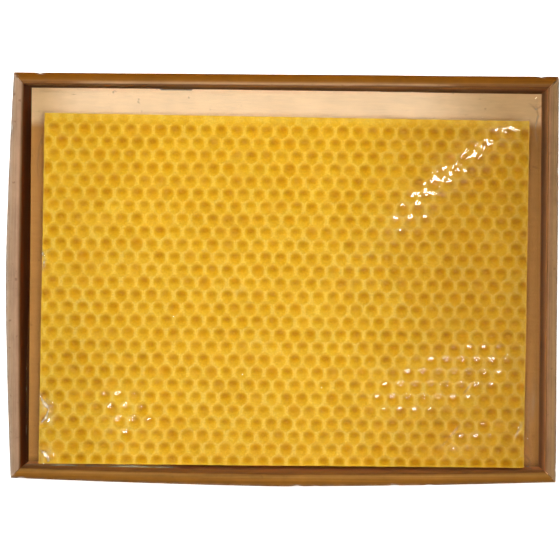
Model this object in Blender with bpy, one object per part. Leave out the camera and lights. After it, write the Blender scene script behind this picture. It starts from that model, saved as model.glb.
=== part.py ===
"""Open cardboard tray with rolled double walls and mitred rims. It holds a stack of beeswax foundation
sheets in a clear film bag.

+X runs left to right along the tray's long side, +Y front to back, +Z up. The origin is under the middle
of the tray, on the surface that it stands on. Everything is in metres.
"""

import math

import bmesh
import bpy

# The tray. Width and depth are measured over the corners, where the walls are square.
CORNER_W = 0.1916
CORNER_D = 0.1420
HEIGHT = 0.0360
BOARD = 0.0010
GAP = 0.0003
STATIONS = 16

# A wall is an outer panel, a corner flap and an inner panel, with the rim rolled over them.
RIM_W = 3 * BOARD + 2 * GAP
INNER_DEPTH = RIM_W - BOARD
WALL_TOP = HEIGHT - BOARD - GAP
INNER_FOOT = BOARD + GAP
SHOULDER = 0.0007
MITRE_BACK = 0.00022

# How far the middle of a wall stands out past its corners, at the top of its outer and inner panels.
LEFT_BOW = 0.0023
LEFT_INNER_BOW = 0.0011
FRONT_BOW = 0.0018
FRONT_INNER_BOW = 0.0015

# Corner flaps run from the short walls along the long ones.
FLAP_LENGTH = 0.030
FLAP_TAPER = 0.0025
FLAP_TOP = WALL_TOP - 0.0008

# The long inner panels lock into pointed slots in the base.
TAB_OFFSET = 0.0395
TAB_LENGTH = 0.0104
TAB_FOOT = 0.0002
SLOT_CLEARANCE = 0.00035
SLOT_POINT = 0.0008

# The stack of sheets in its bag.
SHEET_COUNT = 12
SHEET_W = 0.1714
SHEET_D = 0.1228
SHEET_T = 0.0016
SHEET_CORNER = 0.0006
SHEET_DRIFT = 0.00008
FILM = 0.0002
PACK_X = -0.0003
PACK_Y = -0.0045
PACK_TURN = math.radians(-0.45)
BAG_HALF_W = 0.0910
BAG_FRONT = 0.0619
BAG_BACK = 0.0706
BAG_CORNER = 0.0040

# The bows stand out past the corners on the left and in front, so the corners' centre is off the origin.
TRAY_X = LEFT_BOW / 2
TRAY_Y = FRONT_BOW / 2
PACK_BOTTOM = BOARD + GAP
STACK_BOTTOM = PACK_BOTTOM + FILM + GAP
STACK_TOP = STACK_BOTTOM + SHEET_COUNT * SHEET_T + (SHEET_COUNT - 1) * GAP

# Name, length, turn about Z, bow of the outer panel and bow of the inner panel.
WALLS = (
    ("back", CORNER_W, 0, 0.0, 0.0),
    ("front", CORNER_W, 180, FRONT_BOW, FRONT_INNER_BOW),
    ("left", CORNER_D, 90, LEFT_BOW, LEFT_INNER_BOW),
    ("right", CORNER_D, -90, 0.0, 0.0),
)
LONG_WALLS = ("back", "front")


def clear_scene():
    for obj in list(bpy.data.objects):
        bpy.data.objects.remove(obj)


def new_collection(name, hidden=False):
    collection = bpy.data.collections.new(name)
    bpy.context.scene.collection.children.link(collection)
    collection.hide_render = hidden
    return collection


def material(name, colour, roughness, alpha=1.0):
    mat = bpy.data.materials.new(name)
    mat.use_nodes = True
    shader = mat.node_tree.nodes["Principled BSDF"]
    shader.inputs["Base Color"].default_value = (*colour, 1.0)
    shader.inputs["Roughness"].default_value = roughness
    shader.inputs["Metallic"].default_value = 0.0
    shader.inputs["Alpha"].default_value = alpha
    return mat


clear_scene()
TRAY = new_collection("foundation_tray")
CUTTERS = new_collection("cutters", hidden=True)

LONG_KRAFT = material("long_wall_kraft", (0.33, 0.14, 0.035), 0.85)
SHORT_KRAFT = material("short_wall_kraft", (0.45, 0.25, 0.14), 0.85)
BASE_KRAFT = material("base_kraft", (0.62, 0.36, 0.17), 0.85)
WAX = material("beeswax", (0.72, 0.40, 0.05), 0.45)
CLEAR_FILM = material("clear_film", (0.95, 0.93, 0.88), 0.10, alpha=0.25)


def add_empty(name, location, turn=0.0):
    empty = bpy.data.objects.new(name, None)
    empty.location = location
    empty.rotation_euler = (0.0, 0.0, turn)
    TRAY.objects.link(empty)
    return empty


def add_mesh(name, bm, parent=None, mat=None, collection=TRAY):
    """Turns a bmesh into an object in its parent's frame."""
    bmesh.ops.recalc_face_normals(bm, faces=bm.faces)
    mesh = bpy.data.meshes.new(name)
    bm.to_mesh(mesh)
    bm.free()
    obj = bpy.data.objects.new(name, mesh)
    collection.objects.link(obj)
    obj.parent = parent
    if mat:
        mesh.materials.append(mat)
    if collection is CUTTERS:
        obj.hide_render = True
        obj.display_type = "WIRE"
    return obj


def box_bmesh(low, high):
    """A box between two corners, made from a unit cube."""
    bm = bmesh.new()
    bmesh.ops.create_cube(bm, size=1.0)
    for vert in bm.verts:
        for axis in range(3):
            middle = (low[axis] + high[axis]) / 2
            vert.co[axis] = middle + vert.co[axis] * (high[axis] - low[axis])
    return bm


def cut_stations(bm, half, count=STATIONS):
    """Cuts the mesh across X into equal bays, so that it can bend in plan."""
    for i in range(1, count):
        bmesh.ops.bisect_plane(
            bm,
            geom=bm.verts[:] + bm.edges[:] + bm.faces[:],
            plane_co=(half * (2 * i / count - 1), 0, 0),
            plane_no=(1, 0, 0),
        )


def bow_share(x, half):
    """1 in the middle of a wall and 0 at its corners, along a parabola."""
    return 1 - min(1.0, abs(x) / half) ** 2


def outline_bmesh(points, z_low, z_high):
    """A flat board with this outline in X and Y, from a filled 2D curve."""
    curve = bpy.data.curves.new("outline", "CURVE")
    curve.dimensions = "2D"
    curve.fill_mode = "BOTH"
    curve.extrude = (z_high - z_low) / 2
    spline = curve.splines.new("POLY")
    spline.points.add(len(points) - 1)
    for point, (x, y) in zip(spline.points, points):
        point.co = (x, y, 0, 1)
    spline.use_cyclic_u = True
    guide = bpy.data.objects.new("outline", curve)
    CUTTERS.objects.link(guide)
    bpy.context.view_layer.update()
    graph = bpy.context.evaluated_depsgraph_get()
    mesh = bpy.data.meshes.new_from_object(guide.evaluated_get(graph))
    bm = bmesh.new()
    bm.from_mesh(mesh)
    bmesh.ops.remove_doubles(bm, verts=bm.verts, dist=1e-6)
    bmesh.ops.translate(bm, verts=bm.verts, vec=(0, 0, (z_low + z_high) / 2))
    bpy.data.objects.remove(guide)
    bpy.data.curves.remove(curve)
    bpy.data.meshes.remove(mesh)
    return bm


def rounded_rectangle(low_x, low_y, high_x, high_y, radius, steps=4):
    """Corner points of a rectangle with round corners, anticlockwise."""
    centres = (
        (high_x - radius, high_y - radius, 0),
        (low_x + radius, high_y - radius, 90),
        (low_x + radius, low_y + radius, 180),
        (high_x - radius, low_y + radius, 270),
    )
    points = []
    for x, y, start in centres:
        for step in range(steps + 1):
            angle = math.radians(start + 90 * step / steps)
            points.append((x + radius * math.cos(angle), y + radius * math.sin(angle)))
    return points


def boolean(obj, other, operation):
    modifier = obj.modifiers.new(other.name, "BOOLEAN")
    modifier.operation = operation
    modifier.solver = "EXACT"
    modifier.object = other


def wall_panel(name, frame, mat, half, wall_half, depth, foot, bow):
    """A board panel standing along a wall. depth is how far its outer face is in from the wall's own."""
    bm = box_bmesh((-half, -depth - BOARD, foot), (half, -depth, WALL_TOP))
    if bow:
        cut_stations(bm, half)
    for vert in bm.verts:
        vert.co.y += bow * bow_share(vert.co.x, wall_half) * vert.co.z / WALL_TOP
    return add_mesh(name, bm, frame, mat)


def rim(name, frame, mat, wall_half, outer_bow, inner_bow):
    """The rolled top of a wall: a strip with rounded long edges and mitred ends."""
    bm = box_bmesh((-wall_half, -RIM_W, WALL_TOP + GAP), (wall_half, 0, HEIGHT))
    shoulders = [
        edge
        for edge in bm.edges
        if all(vert.co.z > HEIGHT - GAP for vert in edge.verts)
        and abs(edge.verts[0].co.y - edge.verts[1].co.y) < GAP
    ]
    bmesh.ops.bevel(
        bm, geom=shoulders, offset=SHOULDER, segments=3, profile=0.5, affect="EDGES"
    )
    if outer_bow:
        cut_stations(bm, wall_half)
    for vert in bm.verts:
        inward = -vert.co.y
        along = vert.co.x / wall_half
        inner_share = inward / RIM_W
        bow = outer_bow * (1 - inner_share) + inner_bow * inner_share
        vert.co.y += bow * bow_share(vert.co.x, wall_half)
        vert.co.x -= along * (inward + MITRE_BACK)
    return add_mesh(name, bm, frame, mat)


def corner_flap(name, frame, mat, side, bow):
    """A tapered flap from a short wall, folded in behind the long wall's outer panel and leaning with it."""
    root = side * (CORNER_W / 2 - BOARD - GAP)
    tip = root - side * FLAP_LENGTH
    points = (
        (root, INNER_FOOT),
        (tip, INNER_FOOT + FLAP_TAPER),
        (tip, FLAP_TOP - FLAP_TAPER),
        (root, FLAP_TOP),
    )
    bm = outline_bmesh(points, 0, BOARD)
    if bow:
        cut_stations(bm, CORNER_W / 2)
    for vert in bm.verts:
        height = vert.co.y
        lean = bow * bow_share(vert.co.x, CORNER_W / 2) * height / WALL_TOP
        vert.co.y = lean - (BOARD + GAP) - vert.co.z
        vert.co.z = height
    return add_mesh(name, bm, frame, mat)


def lock_tab(name, frame, side):
    """The tongue under an inner panel. It overlaps the panel, which joins it."""
    half = TAB_LENGTH / 2
    middle = side * TAB_OFFSET
    bm = box_bmesh(
        (middle - half, -RIM_W, TAB_FOOT),
        (middle + half, -INNER_DEPTH, INNER_FOOT + BOARD),
    )
    return add_mesh(name, bm, frame, collection=CUTTERS)


def slot_cutter(name, frame, side):
    """A slot with pointed ends, a little larger all round than the tab in it."""
    half = TAB_LENGTH / 2 + SLOT_CLEARANCE
    middle = side * TAB_OFFSET
    outer = -INNER_DEPTH + SLOT_CLEARANCE
    inner = -RIM_W - SLOT_CLEARANCE
    centre = (outer + inner) / 2
    points = (
        (middle - half, inner),
        (middle + half, inner),
        (middle + half + SLOT_POINT, centre),
        (middle + half, outer),
        (middle - half, outer),
        (middle - half - SLOT_POINT, centre),
    )
    bm = outline_bmesh(points, -BOARD, 2 * BOARD)
    return add_mesh(name, bm, frame, collection=CUTTERS)


def wall_frame(name, turn):
    """An empty at the foot of a wall's outer face, with its +Y pointing out of the tray."""
    angle = math.radians(turn)
    reach_x = -math.sin(angle) * CORNER_W / 2
    reach_y = math.cos(angle) * CORNER_D / 2
    return add_empty(name, (TRAY_X + reach_x, TRAY_Y + reach_y, 0.0), angle)


def inner_slack(bow):
    """An inner panel of a bowed wall leans less than its rim, so that the rim's inner edge covers it."""
    return bow - GAP if bow else 0.0


def build_tray():
    base_low = (TRAY_X - CORNER_W / 2 + BOARD + GAP, TRAY_Y - CORNER_D / 2 + BOARD + GAP, 0.0)
    base_high = (TRAY_X + CORNER_W / 2 - BOARD - GAP, TRAY_Y + CORNER_D / 2 - BOARD - GAP, BOARD)
    base = add_mesh("base_panel", box_bmesh(base_low, base_high), mat=BASE_KRAFT)
    for name, length, turn, outer_bow, inner_bow in WALLS:
        frame = wall_frame(f"{name}_wall", turn)
        half = length / 2
        is_long = name in LONG_WALLS
        mat = LONG_KRAFT if is_long else SHORT_KRAFT
        outer_half = half if is_long else half - BOARD - GAP
        inner_half = half - RIM_W - GAP if is_long else half - INNER_DEPTH
        wall_panel(f"{name}_outer_wall", frame, mat, outer_half, half, 0.0, 0.0, outer_bow)
        inner = wall_panel(
            f"{name}_inner_wall",
            frame,
            mat,
            inner_half,
            half,
            INNER_DEPTH,
            INNER_FOOT,
            inner_slack(inner_bow),
        )
        rim(f"{name}_rim", frame, mat, half, outer_bow, inner_bow)
        if not is_long:
            continue
        for side, end in ((-1, "a"), (1, "b")):
            flap_bow = (outer_bow + inner_slack(inner_bow)) / 2
            corner_flap(f"{name}_corner_flap_{end}", frame, SHORT_KRAFT, side, flap_bow)
            boolean(inner, lock_tab(f"{name}_tab_{end}", frame, side), "UNION")
            boolean(base, slot_cutter(f"{name}_slot_{end}", frame, side), "DIFFERENCE")


def build_sheets(pack):
    """The stack: each sheet lies a little off the one below, as hand-stacked sheets do."""
    outline = rounded_rectangle(
        -SHEET_W / 2, -SHEET_D / 2, SHEET_W / 2, SHEET_D / 2, SHEET_CORNER, steps=2
    )
    for i in range(SHEET_COUNT):
        low = STACK_BOTTOM + i * (SHEET_T + GAP)
        sheet = add_mesh(
            f"wax_sheet_{i + 1:02d}", outline_bmesh(outline, 0, SHEET_T), pack, WAX
        )
        drift = SHEET_DRIFT * (SHEET_COUNT - 1 - i) ** 0.5
        sheet.location = (drift * math.sin(2.4 * i), drift * math.cos(1.7 * i), low)


def build_bag(pack):
    """The bag: a lower film under the stack and out to the walls, and an upper film down over the stack."""
    under = rounded_rectangle(-BAG_HALF_W, -BAG_FRONT, BAG_HALF_W, BAG_BACK, BAG_CORNER)
    add_mesh(
        "bag_lower_film",
        outline_bmesh(under, PACK_BOTTOM, PACK_BOTTOM + FILM),
        pack,
        CLEAR_FILM,
    )
    room = GAP + SHEET_DRIFT
    half_w = SHEET_W / 2 + room + FILM
    half_d = SHEET_D / 2 + room + FILM
    cover = rounded_rectangle(-half_w, -half_d, half_w, half_d, 2 * SHEET_CORNER)
    hollow = rounded_rectangle(
        FILM - half_w, FILM - half_d, half_w - FILM, half_d - FILM, SHEET_CORNER
    )
    upper = add_mesh(
        "bag_upper_film",
        outline_bmesh(cover, STACK_BOTTOM, STACK_TOP + GAP + FILM),
        pack,
        CLEAR_FILM,
    )
    cutter = add_mesh(
        "stack_room",
        outline_bmesh(hollow, STACK_BOTTOM - BOARD, STACK_TOP + GAP),
        pack,
        collection=CUTTERS,
    )
    boolean(upper, cutter, "DIFFERENCE")


def build_pack():
    pack = add_empty("pack", (TRAY_X + PACK_X, TRAY_Y + PACK_Y, 0.0), PACK_TURN)
    build_sheets(pack)
    build_bag(pack)


build_tray()
build_pack()
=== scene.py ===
"""Looks of the foundation tray: kraft board walls with rolled, mitred rims, a stack of embossed beeswax
sheets, and the clear film bag round them. Everything is in metres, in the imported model's frame."""

import math

import bmesh
import bpy
import numpy as np
from mathutils import Matrix, Vector, noise

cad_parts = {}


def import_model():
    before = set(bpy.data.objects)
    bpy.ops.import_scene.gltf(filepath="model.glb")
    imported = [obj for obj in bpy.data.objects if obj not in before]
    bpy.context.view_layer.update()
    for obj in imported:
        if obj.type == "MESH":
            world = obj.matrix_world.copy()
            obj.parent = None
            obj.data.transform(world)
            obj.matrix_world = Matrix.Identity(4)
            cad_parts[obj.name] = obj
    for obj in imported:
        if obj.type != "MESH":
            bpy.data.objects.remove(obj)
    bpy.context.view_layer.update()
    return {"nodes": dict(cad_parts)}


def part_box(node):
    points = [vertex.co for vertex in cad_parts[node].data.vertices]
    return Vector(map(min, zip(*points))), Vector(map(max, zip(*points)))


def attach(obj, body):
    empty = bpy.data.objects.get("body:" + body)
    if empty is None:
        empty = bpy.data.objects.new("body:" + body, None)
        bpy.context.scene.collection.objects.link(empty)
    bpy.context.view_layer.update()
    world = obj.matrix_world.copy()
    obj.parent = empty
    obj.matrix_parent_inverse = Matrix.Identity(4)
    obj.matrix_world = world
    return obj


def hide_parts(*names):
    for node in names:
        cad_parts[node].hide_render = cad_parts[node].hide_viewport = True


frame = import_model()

MM = 0.001

# ---------------------------------------------------------------- measures taken from the frame

BACK_LOW, BACK_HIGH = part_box("back_outer_wall")
RIM_LOW, RIM_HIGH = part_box("back_rim")
RIGHT_LOW, RIGHT_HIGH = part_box("right_rim")
LEFT_LOW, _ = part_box("left_outer_wall")
FRONT_LOW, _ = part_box("front_outer_wall")
_, BASE_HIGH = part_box("base_panel")
TOP_LOW, TOP_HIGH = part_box("wax_sheet_12")

HEIGHT = RIM_HIGH.z
BOARD = BACK_HIGH.y - BACK_LOW.y
RIM_W = RIM_HIGH.y - RIM_LOW.y
CORNER_W = BACK_HIGH.x - BACK_LOW.x
MIDDLE_X = (BACK_HIGH.x + BACK_LOW.x) / 2
MIDDLE_Y = (RIGHT_HIGH.y + RIGHT_LOW.y) / 2
CORNER_D = 2 * (BACK_HIGH.y - MIDDLE_Y)
LEFT_BOW = BACK_LOW.x - LEFT_LOW.x
FRONT_BOW = MIDDLE_Y - CORNER_D / 2 - FRONT_LOW.y
INNER_BOWS = {"left": 0.7 * MM, "front": 1.5 * MM}
# How far an inner board's foot stands in from its top. The short ones lean evenly.
FOOT_LEANS = {"left": 0.8 * MM, "right": 0.4 * MM}
# The long inner boards lean unevenly: places along the wall, then how far the foot stands in there, in mm.
LONG_LEANS = {
    "back": ((-92, -40, 0, 36, 44, 50, 60, 75, 92), (-0.2, -0.12, 0.10, 0.24, 0.26, 0.47, 0.55, 0.65, 0.68)),
    "front": ((-92, -40, 0, 92), (0.33, 0.42, 0.55, 0.70)),
}
OUTER_BOWS = {"left": LEFT_BOW, "front": FRONT_BOW + 0.45 * MM}
PACK_MIDDLE = (TOP_LOW + TOP_HIGH) / 2
PACK_TURN = math.radians(-0.45)
SHEET_COUNT = 12
SHEET_W = 171.4 * MM
SHEET_D = 122.8 * MM
SHEET_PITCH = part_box("wax_sheet_12")[0].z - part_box("wax_sheet_11")[0].z
STACK_TOP = TOP_HIGH.z


# ---------------------------------------------------------------- mesh helpers


def new_object(name, mesh, mat, body, slot, *replaced):
    """Links a mesh as a smooth-shaded piece that rides on a body and stands for CAD nodes."""
    obj = bpy.data.objects.new(name, mesh)
    bpy.context.scene.collection.objects.link(obj)
    mesh.materials.append(mat)
    mesh.shade_smooth()
    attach(obj, body)
    if replaced:
        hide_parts(*replaced)
    return obj


def mesh_from(name, points, faces):
    mesh = bpy.data.meshes.new(name)
    mesh.from_pydata(points, [], faces)
    mesh.update()
    return mesh


def add_values(mesh, name, values):
    """One number per point, which the materials read by this name."""
    attribute = mesh.attributes.new(name, "FLOAT", "POINT")
    attribute.data.foreach_set("value", np.asarray(values, np.float32))


def smoothstep(x):
    x = np.clip(x, 0.0, 1.0)
    return x * x * (3 - 2 * x)


def ripple(x, y, seed=0.0, octaves=3):
    """Smooth noise from about -1 to 1."""
    return noise.fractal((x, y, seed), 1.0, 2.0, octaves) * 0.8


def ripples(x, y, seed=0.0, octaves=3):
    """ripple() for arrays."""
    flat = [
        ripple(float(a), float(b), seed, octaves) for a, b in zip(np.ravel(x), np.ravel(y))
    ]
    return np.array(flat).reshape(np.shape(x))


# ---------------------------------------------------------------- node helpers


class Nodes:
    """A short way to write a material's node tree."""

    def __init__(self, name):
        self.material = bpy.data.materials.new(name)
        self.material.use_nodes = True
        self.tree = self.material.node_tree
        self.shader = self.tree.nodes["Principled BSDF"]
        self.output = self.tree.nodes["Material Output"]

    def add(self, kind, inputs=(), **settings):
        node = self.tree.nodes.new(kind)
        for key, value in settings.items():
            setattr(node, key, value)
        for key, value in dict(inputs).items():
            self.put(node.inputs[key], value)
        return node

    def put(self, socket, value):
        if isinstance(value, bpy.types.NodeSocket):
            self.tree.links.new(value, socket)
        else:
            socket.default_value = value

    def position(self):
        return self.add("ShaderNodeTexCoord").outputs["Object"]

    def scaled(self, scale):
        node = self.add("ShaderNodeMapping", {"Vector": self.position(), "Scale": scale})
        return node.outputs["Vector"]

    def axis(self, name):
        return self.add("ShaderNodeSeparateXYZ", {0: self.position()}).outputs[name]

    def value(self, name):
        return self.add("ShaderNodeAttribute", attribute_name=name).outputs["Fac"]

    def noise(self, scale, vector=None, detail=3.0, roughness=0.5, distortion=0.0):
        inputs = {
            "Vector": vector or self.position(),
            "Scale": scale,
            "Detail": detail,
            "Roughness": roughness,
            "Distortion": distortion,
        }
        return self.add("ShaderNodeTexNoise", inputs).outputs["Fac"]

    def math(self, operation, a, b=0.0, clamp=False):
        node = self.add("ShaderNodeMath", operation=operation, use_clamp=clamp)
        self.put(node.inputs[0], a)
        self.put(node.inputs[1], b)
        return node.outputs[0]

    def times(self, a, b, clamp=False):
        return self.math("MULTIPLY", a, b, clamp)

    def plus(self, a, b, clamp=False):
        return self.math("ADD", a, b, clamp)

    def swing(self, noise_value, to_low, to_high):
        """Maps the usual reach of a noise texture."""
        return self.remap(noise_value, 0.3, 0.7, to_low, to_high)

    def remap(self, value, low, high, to_low=0.0, to_high=1.0, smooth=False):
        node = self.add("ShaderNodeMapRange")
        node.interpolation_type = "SMOOTHSTEP" if smooth else "LINEAR"
        for key, number in zip(("From Min", "From Max", "To Min", "To Max"), (low, high, to_low, to_high)):
            node.inputs[key].default_value = number
        self.put(node.inputs["Value"], value)
        return node.outputs["Result"]

    def ramp(self, value, stops):
        node = self.add("ShaderNodeValToRGB", {"Fac": value})
        elements = node.color_ramp.elements
        while len(elements) < len(stops):
            elements.new(0.5)
        for element, (place, colour) in zip(elements, stops):
            element.position = place
            element.color = (*colour, 1.0)
        return node.outputs["Color"]

    def mix(self, factor, a, b, blend="MIX"):
        node = self.add("ShaderNodeMix", data_type="RGBA", blend_type=blend)
        self.put(node.inputs["Factor"], factor)
        self.put(node.inputs["A"], a if isinstance(a, bpy.types.NodeSocket) else (*a, 1.0))
        self.put(node.inputs["B"], b if isinstance(b, bpy.types.NodeSocket) else (*b, 1.0))
        return node.outputs["Result"]

    def bump(self, height, distance, strength):
        inputs = {"Height": height, "Distance": distance, "Strength": strength}
        return self.add("ShaderNodeBump", inputs).outputs["Normal"]

    def finish(self, **inputs):
        names = {"colour": "Base Color", "roughness": "Roughness", "normal": "Normal"}
        for key, value in inputs.items():
            name = names.get(key, "Specular IOR Level" if key == "specular" else key)
            if key == "colour" and not isinstance(value, bpy.types.NodeSocket):
                value = (*value, 1.0)
            self.put(self.shader.inputs[name], value)
        return self.material


def srgb(red, green, blue):
    """An 8-bit display colour as the linear one that the nodes take."""
    return tuple(
        c / 12.92 if c <= 0.04045 else ((c + 0.055) / 1.055) ** 2.4
        for c in (red / 255, green / 255, blue / 255)
    )


def scaled_colour(colour, factor):
    return tuple(min(1.0, c * factor) for c in colour)


# ---------------------------------------------------------------- materials

WAX_RIDGE = srgb(231, 190, 70)
WAX_SIDE = srgb(222, 175, 42)
WAX_PIT = srgb(209, 156, 14)
WAX_DEEP = srgb(192, 134, 0)
WAX_AMBER = srgb(206, 142, 4)
KRAFT_OUTSIDE = srgb(186, 134, 84)
BACK_ROLL_DIM = srgb(125, 80, 41)
FILM_CLOUDY = (1.0, 0.86, 0.60)
FILM_SATIN = (1.0, 0.88, 0.62)
FILM_GLINT = (1.0, 0.93, 0.78)
LEAST_HAZE = 0.0004
WAX_BLOOM = srgb(225, 192, 86)


def kraft(name, across, plain, along="x", streaks=1.0, foot=1.0, top=1.0, dim_ends=False):
    """Kraft board, with its light and shade painted in. across lists (place, red, green, blue) from the
    rim's outer edge to its inner one.

    foot and top are how much paler or darker than plain an inner board is at its foot and its top: painted
    light and shade.
    """
    n = Nodes(name)
    lengthwise = {"x": (9, 1500, 1500), "y": (1500, 9, 1500)}[along]
    short = {"x": (160, 1400, 1400), "y": (1400, 160, 1400)}[along]
    streak = n.noise(1.0, n.scaled(lengthwise), detail=3.0, roughness=0.6)
    fibres = n.noise(1.0, n.scaled(short), detail=5.0, roughness=0.7)
    mottle = n.noise(110.0, detail=4.0, roughness=0.65)
    clouds = n.noise(16.0, detail=2.0)
    # Painted light and shade up an inner board, from its foot to its top.
    height_shade = n.remap(n.value("height_share"), 0.30, 0.95, foot, top, smooth=True)
    board = n.mix(n.value("inside"), KRAFT_OUTSIDE, tinted(n, plain, height_shade))
    # The rim's colours across it, with the light and shade over the roll painted in.
    over_rim = n.ramp(n.value("across"), [(place, srgb(*rgb)) for place, *rgb in across])
    if dim_ends:
        over_rim = dimmed_ends(n, over_rim)
    colour = n.mix(n.value("on_rim"), board, over_rim)
    tone = n.plus(n.swing(fibres, -0.09, 0.09), n.swing(mottle, -0.11, 0.11))
    tone = n.plus(tone, n.swing(clouds, -0.08, 0.08))
    streaked = n.swing(streak, -0.20 * streaks, 0.20 * streaks)
    tone = n.plus(n.plus(tone, streaked), 1.0)
    colour = tinted(n, colour, tone)
    specks = n.times(n.remap(n.noise(520.0, detail=2.0), 0.66, 0.74), 0.35)
    colour = n.mix(specks, colour, scaled_colour(plain, 0.35))
    worn = n.times(n.value("wear"), n.remap(n.noise(330.0, detail=4.0), 0.38, 0.6), clamp=True)
    colour = n.mix(worn, colour, srgb(236, 226, 212))
    height = n.plus(fibres, n.plus(mottle, streak))
    normal = n.bump(height, 0.08 * MM, 0.8)
    rough = n.swing(mottle, 0.70, 0.9)
    return n.finish(colour=colour, roughness=rough, normal=normal, specular=0.06)


def dimmed_ends(n, colour):
    """Painted shade on the back rim's inner roll towards both corners, where it turns away from the light.
    """
    x = n.axis("X")
    right = n.remap(x, 50 * MM, 66 * MM, smooth=True)
    left = n.remap(x, -64 * MM, -78 * MM, smooth=True)
    roll = n.remap(n.value("across"), 0.58, 0.72)
    return n.mix(n.times(n.plus(right, left), roll), colour, BACK_ROLL_DIM)


def base_material():
    """The tray's floor, one board with painted light and shade: pale where it lies open behind the stack,
    painted browner and darker in the narrow shaded channels beside it.
    """
    n = Nodes("kraft_base")
    x, y = n.axis("X"), n.axis("Y")
    fibres = n.noise(1.0, n.scaled((140, 1300, 1300)), detail=5.0, roughness=0.65)
    mottle = n.noise(90.0, detail=4.0, roughness=0.6)
    wander = n.swing(n.noise(60.0, detail=3.0), -1.5 * MM, 1.5 * MM)
    depth = n.plus(y, wander)
    # Painted shade: the same board all over, painted pale where it lies open behind the stack and browner in
    # the shaded channels.
    behind = n.remap(depth, PALE_FROM, PALE_TO, smooth=True)
    colour = n.mix(behind, BASE_CHANNEL_SHADE, BASE_PALE)
    # Painted shade towards the back channel's right end, and towards its left end.
    right_end_shade = n.remap(n.plus(x, wander), 42 * MM, 82 * MM, 0.0, 0.85, smooth=True)
    colour = n.mix(n.times(right_end_shade, behind), colour, BASE_IN_SHADE)
    left = n.remap(n.plus(x, wander), -70 * MM, -88 * MM, 0.0, 0.70, smooth=True)
    colour = n.mix(n.times(left, behind), colour, BASE_IN_SHADE)
    tone = n.plus(n.swing(fibres, 0.95, 1.05), n.swing(mottle, -0.06, 0.06))
    # In the right channel only: painted shade by its wall and painted light by the stack.
    channel = n.remap(x, CHANNEL_WALL, CHANNEL_STACK, 0.68, 1.48)
    far_right = n.remap(x, CHANNEL_FROM, CHANNEL_FULL)
    channel = n.plus(n.times(n.math("SUBTRACT", channel, 1.0), far_right), 1.0)
    channel = n.plus(n.times(n.math("SUBTRACT", 1.0, behind), channel), behind)
    # Painted shade along the front, past the stack's front edge.
    front = n.remap(y, FRONT_SHADE_FROM, FRONT_SHADE_TO, 1.0, 0.4)
    tone = n.times(tone, front)
    colour = tinted(n, colour, n.times(tone, channel))
    specks = n.times(n.remap(n.noise(420.0, detail=2.0), 0.70, 0.77), 0.4)
    colour = n.mix(specks, colour, srgb(120, 84, 50))
    normal = n.bump(n.plus(fibres, mottle), 0.05 * MM, 0.6)
    return n.finish(colour=colour, roughness=0.8, normal=normal, specular=0.08)


def tinted(n, colour, tone):
    """The colour with its three channels multiplied by tone."""
    grey = n.add("ShaderNodeCombineColor", {"Red": tone, "Green": tone, "Blue": tone})
    return n.mix(1.0, colour, grey.outputs[0], "MULTIPLY")


def wax_material():
    """Beeswax: pale amber on the ridges, deeper in the cells, a little light under its skin; painted shade
    towards its sides and on each cell's back side, and a painted highlight along its cut edges.
    """
    n = Nodes("beeswax_embossed")
    cloud = n.noise(16.0, detail=3.0)
    fine = n.noise(1700.0, detail=4.0, roughness=0.7)
    patchy = n.noise(230.0, detail=4.0, roughness=0.6)
    # The depth mark is the wax's own deeper amber in the cells, with painted shade on each cell's back side.
    depth = n.plus(n.value("depth"), n.swing(patchy, -0.18, 0.18), clamp=True)
    colour = n.ramp(depth, [(0.0, WAX_RIDGE), (0.18, WAX_SIDE), (0.5, WAX_PIT), (0.95, WAX_DEEP)])
    tone = n.plus(n.swing(cloud, 0.96, 1.04), n.swing(patchy, -0.05, 0.05))
    tone = n.plus(tone, n.swing(fine, -0.13, 0.13))
    # Painted shade: darker towards the right and the left side.
    across = n.axis("X")
    tone = n.times(tone, n.remap(across, 15 * MM, 75 * MM, 1.0, 0.80, smooth=True))
    tone = n.times(tone, n.remap(across, 76 * MM, 86 * MM, 1.0, 0.86))
    tone = n.times(tone, n.remap(across, -45 * MM, -80 * MM, 1.0, 0.92, smooth=True))
    colour = tinted(n, colour, tone)
    # Painted shade, deeper and warmer towards the right.
    shade_warmth = n.remap(across, 15 * MM, 75 * MM, smooth=True)
    colour = n.mix(shade_warmth, colour, (1.0, 0.92, 0.86), "MULTIPLY")
    richer = n.remap(n.axis("Y"), 0.0, 45 * MM, smooth=True)
    colour = n.mix(richer, colour, (1.0, 0.98, 0.74), "MULTIPLY")
    cell = n.value("cell_tone")
    colour = n.mix(n.remap(cell, 0.6, 2.8, 0.0, 0.45), colour, WAX_AMBER)
    colour = n.mix(n.remap(cell, -0.8, -2.8, 0.0, 0.3), colour, WAX_SIDE)
    bloom = n.times(n.remap(patchy, 0.52, 0.72), 0.22)
    colour = n.mix(bloom, colour, WAX_BLOOM)
    # Painted highlight along the cut edges, in the ridges' colour.
    colour = n.mix(n.times(n.value("border"), 0.45), colour, WAX_RIDGE)
    normal = n.bump(n.plus(fine, n.times(patchy, 0.9)), 0.10 * MM, 0.6)
    rough = n.swing(patchy, 0.40, 0.60)
    material = n.finish(colour=colour, roughness=rough, normal=normal, specular=0.12)
    n.shader.inputs["Subsurface Weight"].default_value = 0.06
    n.shader.inputs["Subsurface Radius"].default_value = (1.0, 0.45, 0.1)
    n.shader.inputs["Subsurface Scale"].default_value = 0.5 * MM
    return material


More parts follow.
